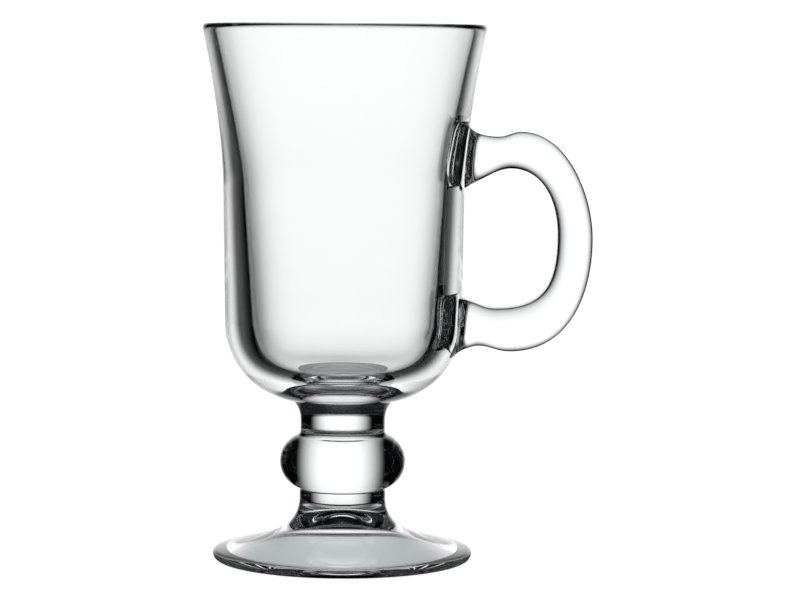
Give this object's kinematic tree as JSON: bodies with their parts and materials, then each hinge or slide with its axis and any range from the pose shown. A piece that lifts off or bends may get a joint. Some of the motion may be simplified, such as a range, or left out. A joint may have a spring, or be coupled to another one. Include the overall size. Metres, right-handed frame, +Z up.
{
  "type": "irish coffee glass mug",
  "caption": "Clear glass mug with a tall flared bowl, a ball-knop stem, a hollow round foot and a flat-sided ear handle, for hot drinks.",
  "frame": {"origin": "on the bowl's axis, in the plane that the foot's ring rests on", "axes": "+Z up along the bowl's axis, +X towards the handle, and the picture looks along +Y"},
  "size_m": [0.1061, 0.077, 0.146],
  "materials": {
    "bowl_glass": "clear pressed glass, fire polished",
    "handle_glass": "clear pressed glass, fire polished",
    "stem_glass": "clear pressed glass, fire polished",
    "foot_glass": "clear pressed glass, fire polished"
  },
  "bodies": {
    "root": {"bowl": "bowl_glass", "handle": "handle_glass", "stem": "stem_glass", "foot": "foot_glass"}
  },
  "joints": []
}
